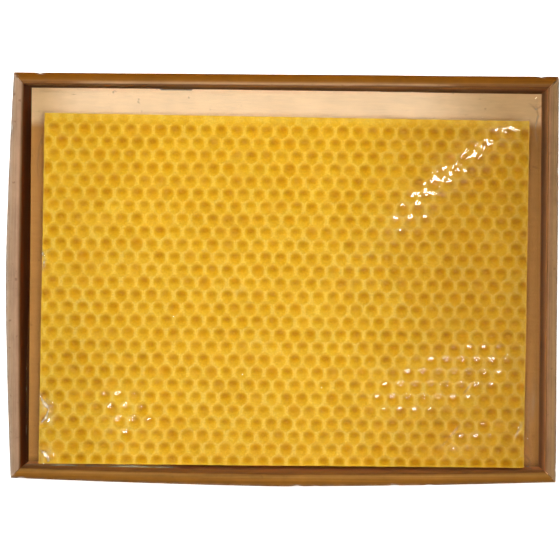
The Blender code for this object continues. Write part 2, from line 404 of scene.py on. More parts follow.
def film_material():
    """Clear polythene: see-through and glossy, cloudy along its creases and its cut edge."""
    n = Nodes("clear_polythene")
    n.tree.nodes.remove(n.shader)
    crinkle = n.noise(420.0, detail=4.0, roughness=0.6, distortion=0.8)
    normal = n.bump(crinkle, 0.03 * MM, 0.4)
    clear = n.add("ShaderNodeBsdfTransparent", {"Color": (0.995, 0.993, 0.99, 1)})
    front = n.add("ShaderNodeBsdfDiffuse", {"Color": (*FILM_CLOUDY, 1)})
    through = n.add("ShaderNodeBsdfTranslucent", {"Color": (*FILM_CLOUDY, 1)})
    cloth = n.add("ShaderNodeMixShader", {0: 0.30, 1: front.outputs[0], 2: through.outputs[0]})
    satin = {"Color": (*FILM_SATIN, 1), "Roughness": 0.42, "Normal": normal}
    sheen = n.add("ShaderNodeBsdfGlossy", satin)
    milk = n.add("ShaderNodeMixShader", {0: 0.50, 1: cloth.outputs[0], 2: sheen.outputs[0]})
    gloss = n.add("ShaderNodeBsdfGlossy", {"Color": (*FILM_GLINT, 1), "Normal": normal})
    n.put(gloss.inputs["Roughness"], n.swing(n.noise(260.0, detail=2.0), 0.05, 0.13))
    fresnel = n.add("ShaderNodeFresnel", {"IOR": 1.5, "Normal": normal}).outputs[0]
    shine = n.times(n.remap(fresnel, 0.04, 0.30, 0.07, 0.16), n.value("gloss"))
    cloud = n.swing(n.noise(300.0, detail=3.0), 0.6, 1.4)
    haze = n.times(n.plus(n.value("haze"), LEAST_HAZE), cloud, clamp=True)
    body = n.add("ShaderNodeMixShader", {0: haze, 1: clear.outputs[0], 2: milk.outputs[0]})
    skin = n.add("ShaderNodeMixShader", {0: shine, 1: body.outputs[0], 2: gloss.outputs[0]})
    n.put(n.output.inputs["Surface"], skin.outputs[0])
    return n.material


# The rims' colours, with the light and shade over each rolled rim painted in: the place across the rim, then
# red, green and blue.
BACK_ACROSS = (
    (0.0, 118, 67, 9), (0.25, 126, 72, 9), (0.5, 131, 81, 23), (0.61, 139, 92, 39),
    (0.70, 155, 112, 67), (0.80, 175, 134, 97), (0.88, 162, 124, 89), (1.0, 119, 78, 49),
)
FRONT_ACROSS = (
    (0.0, 127, 86, 42), (0.2, 123, 79, 26), (0.35, 136, 86, 27), (0.6, 145, 98, 40),
    (0.75, 148, 105, 48), (0.86, 136, 91, 42), (1.0, 115, 72, 35),
)
LEFT_ACROSS = (
    (0.0, 169, 147, 126), (0.12, 166, 138, 113), (0.35, 165, 133, 104), (0.5, 161, 129, 102),
    (0.7, 167, 132, 104), (0.8, 162, 126, 97), (0.9, 133, 95, 65), (1.0, 99, 62, 35),
)
RIGHT_ACROSS = (
    (0.0, 145, 119, 89), (0.2, 151, 116, 79), (0.35, 153, 117, 76), (0.6, 146, 111, 75),
    (0.75, 148, 108, 73), (0.88, 152, 109, 73), (1.0, 150, 105, 67),
)
# One copy of the board for each wall: its plain colour, foot and top are painted light and shade for how
# that wall faces the lamps; the left inner board's dark brown is painted shadow.
KRAFT = {
    "back": kraft("kraft_back", BACK_ACROSS, srgb(192, 138, 86), "x", 0.8, 0.52, 1.3, dim_ends=True),
    "front": kraft("kraft_front", FRONT_ACROSS, srgb(176, 120, 70), "x", 1.0, 1.9, 0.62),
    "left": kraft("kraft_left", LEFT_ACROSS, srgb(114, 57, 20), "y", 0.8, 0.85, 1.05),
    "right": kraft("kraft_right", RIGHT_ACROSS, srgb(183, 138, 96), "y", 0.9, 1.15, 1.85),
}
# Places and colours of the floor's painted light and shade; BASE_PALE is the board where it lies open.
PALE_FROM, PALE_TO = 53 * MM, 59 * MM
CHANNEL_FROM, CHANNEL_FULL = 85 * MM, 86 * MM  # where the right channel's own shading sets in
CHANNEL_WALL, CHANNEL_STACK = 92 * MM, 87.3 * MM
FRONT_SHADE_FROM, FRONT_SHADE_TO = -63.5 * MM, -66.5 * MM
BASE_PALE = srgb(255, 223, 179)
BASE_IN_SHADE = srgb(200, 160, 106)
BASE_CHANNEL_SHADE = srgb(182, 129, 68)
BASE_KRAFT = base_material()
WAX = wax_material()
FILM = film_material()


# ---------------------------------------------------------------- tray walls

WALLS = {
    "back": (CORNER_W, 0.0, Vector((MIDDLE_X, MIDDLE_Y + CORNER_D / 2, 0))),
    "front": (CORNER_W, math.pi, Vector((MIDDLE_X, MIDDLE_Y - CORNER_D / 2, 0))),
    "left": (CORNER_D, math.pi / 2, Vector((MIDDLE_X - CORNER_W / 2, MIDDLE_Y, 0))),
    "right": (CORNER_D, -math.pi / 2, Vector((MIDDLE_X + CORNER_W / 2, MIDDLE_Y, 0))),
}
LONG_WALLS = ("back", "front")
BODY_OF_TRAY = "tray"
SLOT_OF_WALL = {wall: f"{'long' if wall in LONG_WALLS else 'short'}_wall_kraft" for wall in WALLS}
STATION = 1.0 * MM
FOLD_RADIUS = 0.75 * MM
LIP = 1.6 * MM  # how far the rolled rim comes down over the inner and outer panels
SCORE = 0.12 * MM  # the crease line between a panel and the rim
MITRE = 0.10 * MM
BUMPY = 0.10 * MM
BULGES = {"back": 0.50 * MM, "front": 0.18 * MM, "left": 0.0, "right": 0.10 * MM}
BOW_POWER = 1.45  # a board that bows from one weak place, so it runs nearly straight to it
TAB_OFFSET = 39.5 * MM
TAB_LENGTH = 10.4 * MM
TAB_FOOT = 0.2 * MM
TAB_HEIGHT = 1.0 * MM
SCUFFS = {"back": 0.0, "front": 0.16, "left": 0.35, "right": 0.15}
NICKS = {  # places along each wall, in mm
    "back": (-86.5, 89.5),
    "front": (-5.0, -11.2, -39.0, -51.5, 92.0),
    "left": (52.0,),
    "right": (-38.0, 66.0),
}


def foot_lean(wall, along):
    """How far an inner board's foot stands in from its top, at a place along the wall."""
    if wall in LONG_LEANS:
        return np.interp(along / MM, *LONG_LEANS[wall]) * MM
    return FOOT_LEANS[wall]


def arc(centre, radius, start, end, steps=5):
    """Points of an arc in a wall's section, as (outward, height), from start to end in degrees."""
    points = []
    for i in range(steps + 1):
        angle = math.radians(start + (end - start) * i / steps)
        points.append((centre[0] + radius * math.cos(angle), centre[1] + radius * math.sin(angle)))
    return points


def rim_section():
    """The rolled board over the top of a wall, as a closed loop: outer skin, then inner skin."""
    r = FOLD_RADIUS
    low = HEIGHT - LIP
    inner_r = 0.2 * MM
    outer = [(0, low), (0, (low + HEIGHT - r) / 2)]
    outer += arc((-r, HEIGHT - r), r, 0, 90)
    outer += [(-RIM_W * f, HEIGHT + 0.04 * MM * math.sin(math.pi * f)) for f in (0.35, 0.5, 0.65)]
    outer += arc((-RIM_W + r, HEIGHT - r), r, 90, 180)
    outer += [(-RIM_W, (low + HEIGHT - r) / 2), (-RIM_W, low)]
    inner = [(-RIM_W + BOARD, low)]
    inner += arc((-RIM_W + BOARD + inner_r, HEIGHT - BOARD - inner_r), inner_r, 180, 90, 2)
    inner += arc((-BOARD - inner_r, HEIGHT - BOARD - inner_r), inner_r, 90, 0, 2)
    inner += [(-BOARD, low)]
    return outer + inner


def panel_section(depth, low, high, steps=12):
    """A standing board with softened long edges. depth is how far its outer face is from the wall's."""
    r = 0.15 * MM
    outer = [(-depth, low + r + (high - low - 2 * r) * i / steps) for i in range(steps + 1)]
    inner = [(-depth - BOARD, z) for _, z in reversed(outer)]
    return outer + [(-depth - r, high), (-depth - BOARD + r, high)] + inner + [
        (-depth - BOARD + r, low),
        (-depth - r, low),
    ]


def swept_wall(name, wall, section, ends, replaced, seed, rim=False):
    """Sweeps a closed section along a wall. ends(outward) is half the length at that depth."""
    length, turn, foot = WALLS[wall]
    half = length / 2
    stations = max(8, round(length / STATION))
    outer_bow = OUTER_BOWS.get(wall, 0.0)
    inner_bow = INNER_BOWS.get(wall, 0.0)
    place = Matrix.Translation(foot) @ Matrix.Rotation(turn, 4, "Z")
    points, across, wear, height_share, inside = [], [], [], [], []
    for i in range(stations + 1):
        t = 2 * i / stations - 1
        for outward, z in section:
            x = t * ends(outward)
            share = min(1.0, max(0.0, -outward / RIM_W))
            bow = outer_bow * (1 - share) + inner_bow * share
            lift = min(1.0, z / (HEIGHT - BOARD))
            y = outward + bow * (1 - abs(x / half) ** BOW_POWER) * lift
            if rim:
                over = smoothstep((z - HEIGHT + LIP) / (0.8 * LIP))
                y += BULGES[wall] * over * max(0.0, 1 - 2 * share)
            if not rim and outward < -RIM_W / 2:
                y -= foot_lean(wall, x) * (1 - lift)
            wave = ripple(x * 22, z * 30, seed) * BUMPY * (1 - t**8)
            y += wave * lift
            crown = ripple(x * 60, outward * 100, seed + 9) * 0.05 * MM if rim else 0.0
            height = z + (crown if z > HEIGHT - BOARD / 2 else 0.0)
            edge = max(0.0, 1 - abs(outward) / (0.6 * MM)) if z > HEIGHT - LIP / 2 else 0.0
            nick = max((math.exp(-((x / MM - at) / 0.8) ** 2) for at in NICKS[wall]), default=0.0)
            corner = max(0.0, 1 - (half - abs(x)) / (1.6 * MM)) if z > HEIGHT - LIP else 0.0
            if rim and edge > 0.2:
                y -= 0.35 * MM * nick * edge
                height -= 0.3 * MM * nick * edge
            points.append(place @ Vector((x, y, height)))
            across.append(share)
            wear.append(min(1.0, edge * (SCUFFS[wall] + 1.6 * nick) + corner * 0.35) if rim else 0.0)
            height_share.append(lift)
            inside.append(1.0 if outward < -RIM_W / 2 else 0.0)
    count = len(section)
    faces = []
    for i in range(stations):
        for k in range(count):
            a, b = i * count + k, i * count + (k + 1) % count
            faces.append((a, b, b + count, a + count))
    faces.append(tuple(reversed(range(count))))
    faces.append(tuple(range(stations * count, (stations + 1) * count)))
    mesh = mesh_from(name, points, faces)
    add_values(mesh, "across", across)
    add_values(mesh, "on_rim", [1.0 if rim else 0.0] * len(points))
    add_values(mesh, "wear", wear)
    add_values(mesh, "height_share", height_share)
    add_values(mesh, "inside", inside)
    new_object(name, mesh, KRAFT[wall], BODY_OF_TRAY, SLOT_OF_WALL[wall], replaced)
    recalculate(mesh)
    mesh.set_sharp_from_angle(angle=math.radians(40))


def recalculate(mesh):
    bm = bmesh.new()
    bm.from_mesh(mesh)
    bmesh.ops.recalc_face_normals(bm, faces=bm.faces)
    bm.to_mesh(mesh)
    bm.free()


def build_wall(wall, seed):
    """A wall's rolled rim and its two boards."""
    half = WALLS[wall][0] / 2
    is_long = wall in LONG_WALLS
    top = HEIGHT - LIP - SCORE
    outer_half = half if is_long else half - BOARD
    inner_half = half - RIM_W if is_long else half - RIM_W + BOARD
    outer = panel_section(0.0, 0.0, top)
    inner = panel_section(RIM_W - BOARD, BOARD + 0.1 * MM, top)

    def mitred(outward):
        return half - MITRE + min(0.0, outward)

    swept_wall(f"{wall}_rolled_rim", wall, rim_section(), mitred, f"{wall}_rim", seed, rim=True)
    swept_wall(f"{wall}_outer_board", wall, outer, lambda _: outer_half, f"{wall}_outer_wall", seed)
    swept_wall(f"{wall}_inner_board", wall, inner, lambda _: inner_half, f"{wall}_inner_wall", seed)


def lock_tab(wall, side):
    """One of the tabs at a long inner board's foot, standing in its slot in the tray's floor."""
    _, turn, foot = WALLS[wall]
    bm = bmesh.new()
    bmesh.ops.create_cube(bm, size=1.0)
    middle = Vector((side * TAB_OFFSET, BOARD / 2 - RIM_W, TAB_HEIGHT / 2 + TAB_FOOT))
    size = Matrix.Diagonal((TAB_LENGTH, BOARD, TAB_HEIGHT, 1))
    place = Matrix.Translation(foot) @ Matrix.Rotation(turn, 4, "Z") @ Matrix.Translation(middle)
    bm.transform(place @ size)
    name = f"{wall}_lock_tab_{'a' if side < 0 else 'b'}"
    mesh = bpy.data.meshes.new(name)
    bm.to_mesh(mesh)
    bm.free()
    add_values(mesh, "inside", [1.0] * len(mesh.vertices))
    new_object(name, mesh, KRAFT[wall], BODY_OF_TRAY, SLOT_OF_WALL[wall])


for number, wall_name in enumerate(WALLS):
    build_wall(wall_name, 3.1 * number)
for wall_name in LONG_WALLS:
    lock_tab(wall_name, -1)
    lock_tab(wall_name, 1)

for node_name, node in frame["nodes"].items():
    if node_name == "base_panel" or "corner_flap" in node_name:
        for i in range(len(node.material_slots)):
            node.material_slots[i].material = BASE_KRAFT

# ---------------------------------------------------------------- wax sheets

CELL = 5.38 * MM  # across the flats, along a row
ROW = 4.503 * MM
CELL_TURN = math.radians(0.22)  # the cells run this far off the sheet's edge
CELL_ORIGIN = Vector((-1.17 * MM, 2.42 * MM))
CELL_DEPTH = 1.15 * MM
SHOULDER_DROP = 0.16 * MM  # how far a ridge has fallen where the pit starts
RINGS_FINE = (1.0, 0.93, 0.83, 0.72, 0.61, 0.50, 0.38, 0.25, 0.12)
RINGS_COARSE = (1.0, 0.72)


def oval(u, v, middle_u, middle_v, half_u, half_v, power):
    """1 in the middle of an oval, falling smoothly to 0 past its edge."""
    return np.exp(-((((u - middle_u) / half_u) ** 2 + ((v - middle_v) / half_v) ** 2) ** power))


def cell_shape(points, m):
    """Heights of one cell's points below its ridges, and how deep the amber is there, from 0 to 1: the wax's
    own colour with painted shade in it.

    The rollers pressed each cell hardest towards the back, so that side is the steeper, and its amber is
    painted darker for the shade that falls there.
    """
    u, v = points[:, 0] / MM, points[:, 1] / MM
    dome = oval(u, v, 0.0, 0.55, 1.62, 1.02, 1.6)
    bowl = oval(u, v, 0.0, -0.45, 1.95, 1.65, 1.5)
    nook = oval(u, v, 1.2, -1.60, 0.8, 0.55, 1.0)
    web = 1 - smoothstep((np.abs(u) - 1.5) / 0.9)
    heights = -CELL_DEPTH * (0.45 * dome + 0.45 * bowl + 0.10 * nook)
    heights -= SHOULDER_DROP * smoothstep((1 - m) / 0.4)
    # The dome's share of the amber is painted shade on the cell's back side.
    return heights, np.clip(0.50 * dome + 0.22 * bowl + 0.12 * nook + 0.20 * web, 0, 1)


def cell_template(rings, segments):
    """One cell's points, their heights and ambers, how far each is from the middle, and its faces."""
    corners = [(0, 2 * ROW / 3), (-CELL / 2, ROW / 3), (-CELL / 2, -ROW / 3)]
    corners += [(-x, -y) for x, y in corners]
    outline = []
    for (x0, y0), (x1, y1) in zip(corners, corners[1:] + corners[:1]):
        for k in range(segments):
            t = k / segments
            outline.append((x0 + (x1 - x0) * t, y0 + (y1 - y0) * t))
    outline = np.array(outline)
    radius = np.hypot(outline[:, 0], outline[:, 1])
    circle = outline / radius[:, None] * (0.97 * CELL / 2)
    points, reach = [], []
    for m in rings:
        roundness = 0.8 * smoothstep((1 - m) / 0.35)
        points.append((outline * (1 - roundness) + circle * roundness) * m)
        reach.append(np.full(len(outline), m))
    points = np.concatenate(points + [np.zeros((1, 2))])
    reach = np.concatenate(reach + [np.zeros(1)])
    around = len(outline)
    faces = []
    for r in range(len(rings) - 1):
        for k in range(around):
            a, b = r * around + k, r * around + (k + 1) % around
            faces.append((a, b, b + around, a + around))
    last = (len(rings) - 1) * around
    middle = last + around
    faces += [(last + k, last + (k + 1) % around, middle) for k in range(around)]
    return points, *cell_shape(points, reach), reach, faces


def comb_points(rings, segments, width, depth, seed):
    """The cells over one sheet: points, their amber from 0 to 1 (the wax's own, with painted shade), a tone
    for each cell, and the faces.
    """
    template, heights, amber, reach, faces = cell_template(rings, segments)
    inner = (1 - reach)[:, None]
    columns = int(width / CELL / 2) + 2
    rows = int(depth / ROW / 2) + 3
    random = np.random.default_rng(seed)
    cos_turn, sin_turn = math.cos(CELL_TURN), math.sin(CELL_TURN)
    turn = np.array([[cos_turn, sin_turn], [-sin_turn, cos_turn]])
    points, amber_and_shade, tones, all_faces = [], [], [], []
    for row in range(-rows, rows + 1):
        for column in range(-columns, columns + 1):
            centre = np.array([(column + (row % 2) / 2) * CELL, row * ROW]) + CELL_ORIGIN
            deeper = 1 + 0.12 * random.standard_normal()
            shift = 0.13 * MM * random.standard_normal(2)
            moved = (template + centre + shift * inner) @ turn
            offset = len(points) * len(template)
            points.append(np.concatenate([moved, heights[:, None] * deeper], 1))
            amber_and_shade.append(np.clip(amber * (1 + 0.16 * random.standard_normal()), 0, 1))
            tones.append(random.standard_normal() * np.minimum(1, inner[:, 0] * 4))
            all_faces += [tuple(i + offset for i in face) for face in faces]
    return np.concatenate(points), np.concatenate(amber_and_shade), np.concatenate(tones), all_faces


SHEET_CORNERS = ((-85.6, 61.55), (86.05, 61.35), (85.95, -61.45), (-85.8, -62.65))  # the top sheet's, mm


def trim(bm, corners):
    """Cuts the comb to the sheet's outline, whose corners go round clockwise."""
    for (x0, y0), (x1, y1) in zip(corners, corners[1:] + corners[:1]):
        bmesh.ops.bisect_plane(
            bm,
            geom=bm.verts[:] + bm.edges[:] + bm.faces[:],
            plane_co=(x0, y0, 0),
            plane_no=Vector((y0 - y1, x1 - x0, 0)).normalized(),
            clear_outer=True,
        )


def comb_mesh(name, rings, segments, thickness, seed, corners):
    points, amber_and_shade, tones, faces = comb_points(rings, segments, SHEET_W, SHEET_D, seed)
    mesh = mesh_from(name, points, faces)
    add_values(mesh, "depth", amber_and_shade)
    add_values(mesh, "cell_tone", tones)
    bm = bmesh.new()
    bm.from_mesh(mesh)
    bmesh.ops.remove_doubles(bm, verts=bm.verts, dist=0.02 * MM)
    trim(bm, corners)
    border = [edge for edge in bm.edges if edge.is_boundary]
    down = bmesh.ops.extrude_edge_only(bm, edges=border)["geom"]
    bottom = [v for v in down if isinstance(v, bmesh.types.BMVert)]
    for vert in bottom:
        vert.co.z = -thickness
    rim_edges = [e for e in down if isinstance(e, bmesh.types.BMEdge) and e.is_boundary]
    bmesh.ops.contextual_create(bm, geom=rim_edges)
    bmesh.ops.recalc_face_normals(bm, faces=bm.faces)
    bm.to_mesh(mesh)
    bm.free()
    return mesh


def inside_edge(x, y, start, end):
    """How far each point is inside one edge of a sheet."""
    (x0, y0), (x1, y1) = start, end
    return ((x - x0) * (y1 - y0) - (y - y0) * (x1 - x0)) / math.hypot(x1 - x0, y1 - y0)


def inside_outline(x, y, corners):
    """How far each point is inside the sheet's outline."""
    edges = zip(corners, corners[1:] + corners[:1])
    return np.minimum.reduce([inside_edge(x, y, *edge) for edge in edges])


def soften_border(mesh, seed, corners):
    """Presses the comb flat along the cut edges, lets the sheet sag a little, and marks its border for a
    painted highlight.
    """
    co = np.zeros(len(mesh.vertices) * 3, np.float32)
    mesh.vertices.foreach_get("co", co)
    co = co.reshape(-1, 3).astype(float)
    inside = inside_outline(co[:, 0], co[:, 1], corners)
    uneven = 0.5 * MM * ripples(co[:, 0] * 60, co[:, 1] * 60, seed + 8)
    pressed = 1 - smoothstep((inside - 0.5 * MM + uneven) / (1.0 * MM))
    upper = co[:, 2] > -1.6 * MM
    target = -0.16 * MM - 0.14 * MM * (1 - smoothstep(inside / (0.3 * MM)))
    co[:, 2] = np.where(upper, co[:, 2] * (1 - 0.75 * pressed) + target * 0.75 * pressed, co[:, 2])
    from_back = inside_edge(co[:, 0], co[:, 1], *corners[:2])
    behind = smoothstep((from_back - 0.8 * MM + uneven) / (2.4 * MM))
    co[:, 2] = np.where(upper, co[:, 2] * (0.4 + 0.6 * behind), co[:, 2])
    amber_and_shade = np.zeros(len(mesh.vertices), np.float32)
    mesh.attributes["depth"].data.foreach_get("value", amber_and_shade)
    mesh.attributes["depth"].data.foreach_set("value", (amber_and_shade * (0.3 + 0.7 * behind)).astype(np.float32))
    sag = 0.10 * MM * (ripples(co[:, 0] * 35, co[:, 1] * 35, seed) - 1)
    co[:, 2] += np.where(upper, sag, 0.0)
    mesh.vertices.foreach_set("co", co.astype(np.float32).ravel())
    # The border mark carries a painted highlight along the cut edges.
    add_values(mesh, "border", 1 - smoothstep(inside / (0.5 * MM)))
    mesh.update()


def lower_corners(number):
    """A lower sheet's outline: a plain rectangle, a hair askew."""
    w, d = SHEET_W / 2, SHEET_D / 2
    skew = 0.25 * MM * math.sin(number * 2.1)
    return ((-w, d - skew), (w, d + skew), (w, -d + skew), (-w, -d - skew))


def build_sheet(number):
    node = f"wax_sheet_{number:02d}"
    low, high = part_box(node)
    top = number == SHEET_COUNT
    rings, segments = (RINGS_FINE, 2) if top else (RINGS_COARSE, 1)
    corners = tuple((x * MM, y * MM) for x, y in SHEET_CORNERS) if top else lower_corners(number)
    name = f"embossed_sheet_{number:02d}"
    mesh = comb_mesh(name, rings, segments, SHEET_PITCH - 0.04 * MM, number, corners)
    soften_border(mesh, number * 1.7, corners)
    middle = (low + high) / 2
    place = Matrix.Translation((middle.x, middle.y, high.z)) @ Matrix.Rotation(PACK_TURN, 4, "Z")
    mesh.transform(place)
    new_object(mesh.name, mesh, WAX, "pack", "beeswax", node)
    mesh.set_sharp_from_angle(angle=math.radians(60))


for sheet_number in range(1, SHEET_COUNT + 1):
    build_sheet(sheet_number)

# ---------------------------------------------------------------- film bag

# Places below are in the pack's own frame, in mm: x to the right, y to the back, from its middle.
# A patch is (x, y, half length, half width, turn, how tautly it dips into cells, how crumpled, haze,
# how much glossier it is).
PATCHES = (
    (65.0, 48.5, 28.0, 8.0, 43.0, 0.25, 1.15, 0.04, 0.2),
    (43.0, 26.0, 12.0, 6.0, 43.0, 0.55, 0.7, 0.03, 0.1),
    (57.0, -31.0, 25.0, 10.5, 20.0, 1.1, 0.06, 0.02, -0.42),
    (66.0, -52.0, 12.0, 5.0, 30.0, 0.6, 0.30, 0.02, -0.36),
    (-56.0, -45.0, 12.0, 9.0, -40.0, 0.70, 0.40, 0.02, -0.32),
    (-83.3, -43.5, 3.0, 4.5, 20.0, 0.2, 1.5, 0.16, 0.5),
    (-83.5, -60.0, 3.5, 3.0, 0.0, 0.2, 1.5, 0.16, 0.5),
    (-77.0, 54.0, 4.0, 3.0, 0.0, 0.5, 0.5, 0.02, 0.0),
    (28.0, 10.0, 14.0, 8.0, 40.0, 0.35, 0.15, 0.012, -0.3),
)
# A crease is (width, height, haze, its points).
CREASES = (
    (0.35, 0.20, 0.22, ((72.3, 57.6), (75.6, 58.9), (79.2, 59.3), (82.0, 58.9))),
    (0.35, 0.12, 0.34, ((64.4, -35.6), (65.6, -33.6), (67.2, -31.6))),
    (0.35, 0.10, 0.26, ((59.2, -51.4), (60.6, -49.6), (62.9, -46.8))),
    (0.35, 0.08, 0.18, ((56.4, -54.6), (58.4, -52.4), (60.0, -51.0))),
    (0.30, 0.10, 0.26, ((82.6, -50.8), (84.2, -47.6), (85.0, -45.6))),
    (0.40, 0.30, 0.85, ((-85.9, -37.4), (-84.4, -41.0), (-82.4, -43.2), (-83.4, -46.4), (-85.6, -48.6))),
    (0.40, 0.30, 0.85, ((-85.6, -57.6), (-83.4, -59.2), (-82.2, -61.4), (-82.8, -62.2))),
    (0.30, 0.20, 0.10, ((-78.2, 53.2), (-76.0, 51.0), (-75.6, 49.0))),
    (0.40, 0.20, 0.60, ((-86.0, 13.0), (-84.8, 9.5), (-85.4, 6.0))),
)
SIDE_CREASES = (
    (0.60, 0.5, 0.16, ((87.4, -30.5), (88.8, -40.0), (88.2, -50.0), (90.4, -61.0))),
    (0.55, 0.5, 0.14, ((85.9, -34.0), (88.0, -38.5), (90.8, -33.0))),
    (0.55, 0.5, 0.14, ((86.6, -46.0), (88.8, -49.5), (87.6, -56.0))),
    (0.35, 0.6, 0.30, ((87.0, -57.0), (89.6, -60.0), (88.0, -62.4))),
    (0.35, 0.6, 0.30, ((86.4, -60.6), (88.4, -61.8), (90.8, -60.4))),
    (0.35, 0.5, 0.35, ((89.6, 68.0), (90.4, 64.0), (89.4, 60.0), (90.2, 55.0))),
    (0.35, 0.5, 0.35, ((87.4, 68.4), (89.6, 66.4), (91.4, 67.6))),
    (0.30, 0.5, 0.14, ((-87.0, 56.0), (-88.4, 51.0), (-89.2, 44.0), (-88.6, 38.0))),
    (0.45, 0.7, 0.90, ((-69.0, -63.2), (-62.0, -63.7), (-54.0, -63.3), (-46.0, -63.6), (-38.0, -63.1))),
    (0.35, 0.6, 0.60, ((-84.0, -63.4), (-76.0, -63.0), (-70.0, -63.6))),
    (0.50, 0.8, 0.98, ((-64.4, -63.2), (-63.2, -64.2), (-61.0, -64.6))),
    (0.45, 0.7, 0.70, ((-52.0, -64.0), (-49.0, -64.4), (-46.5, -64.2))),
)
BILLOW_AT = Vector((62.5 * MM, 51.0 * MM))
BILLOW_TURN = 38.0
BILLOW_REACH = 27 * MM
BILLOW_FRONT = 7 * MM
BILLOW_BACK = 9 * MM
BILLOW_HEIGHT = 0.95 * MM
FILM_FINE = 0.20 * MM
FILM_COARSE = 0.52 * MM
FILM_OVER_RIDGES = 0.16 * MM
FALL_BEYOND_X, FALL_BEYOND_Y = 0.35 * MM, 0.30 * MM  # how far past the stack the film starts to fall
FRONT_EDGE_SKEW = (1.0 * MM, -0.2 * MM)  # the top sheet's front edge, past a square one: left end, right end
FILM_ROOM = 0.35 * MM  # left free between the film and the tray's inner boards
BOW_SHARES = {"left": 0.4, "front": 0.62}  # how much of a board's bow there is at the film's height


def spaced(low, high, step):
    return np.linspace(low, high, max(2, round((high - low) / step) + 1))


def film_lines(low, edge_low, edge_high, high):
    """Grid lines across the bag: close together beside the stack, wider over it."""
    beside = spaced(low, edge_low, FILM_FINE)
    over = spaced(edge_low, edge_high, FILM_COARSE)[1:-1]
    return np.concatenate([beside, over, spaced(edge_high, high, FILM_FINE)])


def patch_share(x, y, patch):
    """1 in the middle of a patch, falling to 0 at its edge."""
    px, py, length, width, turn = patch[:5]
    c, s = math.cos(math.radians(turn)), math.sin(math.radians(turn))
    u = (x - px * MM) * c + (y - py * MM) * s
    v = (y - py * MM) * c - (x - px * MM) * s
    return np.exp(-((u / (length * MM)) ** 2 + (v / (width * MM)) ** 2) ** 1.5)


def crease_share(x, y, crease):
    """1 along a crease, falling to 0 beside it and towards its ends."""
    width, _, _, points = crease
    points = np.array(points) * MM
    total = np.zeros(np.shape(x))
    count = len(points) - 1
    for k in range(count):
        (x0, y0), (x1, y1) = points[k], points[k + 1]
        dx, dy = x1 - x0, y1 - y0
        t = np.clip(((x - x0) * dx + (y - y0) * dy) / (dx * dx + dy * dy), 0, 1)
        away = np.hypot(x - x0 - t * dx, y - y0 - t * dy)
        ends = np.sin(np.pi * np.clip((k + t) / count, 0.04, 0.96)) ** 0.5
        total = np.maximum(total, ends * np.exp(-((away / (width * MM)) ** 2)))
    return total


def cell_wave(x, y):
    """1 over each cell's middle, falling to 0 along the ridges."""
    c, s = math.cos(CELL_TURN), math.sin(CELL_TURN)
    u = x * c + y * s - CELL_ORIGIN.x
    v = y * c - x * s - CELL_ORIGIN.y
    waves = (
        np.cos(2 * math.pi * (u / CELL + v / (2 * ROW)))
        + np.cos(2 * math.pi * (u / CELL - v / (2 * ROW)))
        + np.cos(2 * math.pi * v / ROW)
    )
    return np.clip((waves + 1.5) / 4.5, 0, 1)


def billow(x, y):
    """A long, low fold that runs across the back right corner, steeper on its front side."""
    c, s = math.cos(math.radians(BILLOW_TURN)), math.sin(math.radians(BILLOW_TURN))
    along = (x - BILLOW_AT.x) * c + (y - BILLOW_AT.y) * s
    beside = (y - BILLOW_AT.y) * c - (x - BILLOW_AT.x) * s
    wander = 2.0 * MM * ripples(along * 45, 0 * along, 91.0)
    front_side = smoothstep((beside + wander + BILLOW_FRONT) / BILLOW_FRONT)
    back_side = 1 - smoothstep((beside + wander) / BILLOW_BACK)
    ends = np.exp(-((along / BILLOW_REACH) ** 4))
    return BILLOW_HEIGHT * ends * front_side * back_side


def film_on_comb(x, y):
    """How high the film lies over the ridges, its haze and its gloss."""
    taut = 0.20 + 0.15 * ripples(x * 25, y * 25, 41.0)
    crumpled = np.full(np.shape(x), 0.05)
    gloss = np.full(np.shape(x), 0.5)
    haze = 0.0025 * smoothstep((45 * MM - y) / (80 * MM))
    for patch in PATCHES:
        share = patch_share(x, y, patch)
        taut = taut + share * patch[5]
        crumpled = crumpled + share * patch[6]
        haze = haze + share * patch[7]
        gloss = gloss + share * patch[8]
    swell = 0.16 * MM * (1 + ripples(x * 30, y * 30, 31.0))
    rough = 0.75 * MM * crumpled * np.abs(ripples(x * 210, y * 210, 51.0, 3))
    z = FILM_OVER_RIDGES + swell + rough - 0.52 * MM * np.clip(taut, 0, 1.15) * cell_wave(x, y)
    z = z + billow(x, y)
    for crease in CREASES:
        share = crease_share(x, y, crease)
        z = z + share * crease[1] * MM
        haze = np.maximum(haze, share * crease[2])
    cloudy = 0.5 + ripples(x * 260, y * 260, 61.0, 3)
    return z, haze * np.clip(cloudy + 0.3, 0.1, 1.6), np.clip(gloss, 0.1, 1)


def climb_of(x, y, half_w, half_d):
    """How far the film's edge climbs each wall above the tray's floor, as it wanders along it."""
    along = np.where(np.abs(x) > half_w, y, x)
    wander = ripples(along * 22, along * 0, 21.0)
    left = 3 * MM + 19 * MM * smoothstep((10 * MM - y) / (45 * MM)) + 4 * MM * wander
    right = 7 * MM + 5 * MM * wander
    back = 11 * MM + 1.5 * MM * wander
    front = 26 * MM + 4.5 * MM * wander
    climb = np.where(x > half_w, right, left)
    climb = np.where(y > half_d, back, climb)
    return np.where(y < -half_d, front, climb)


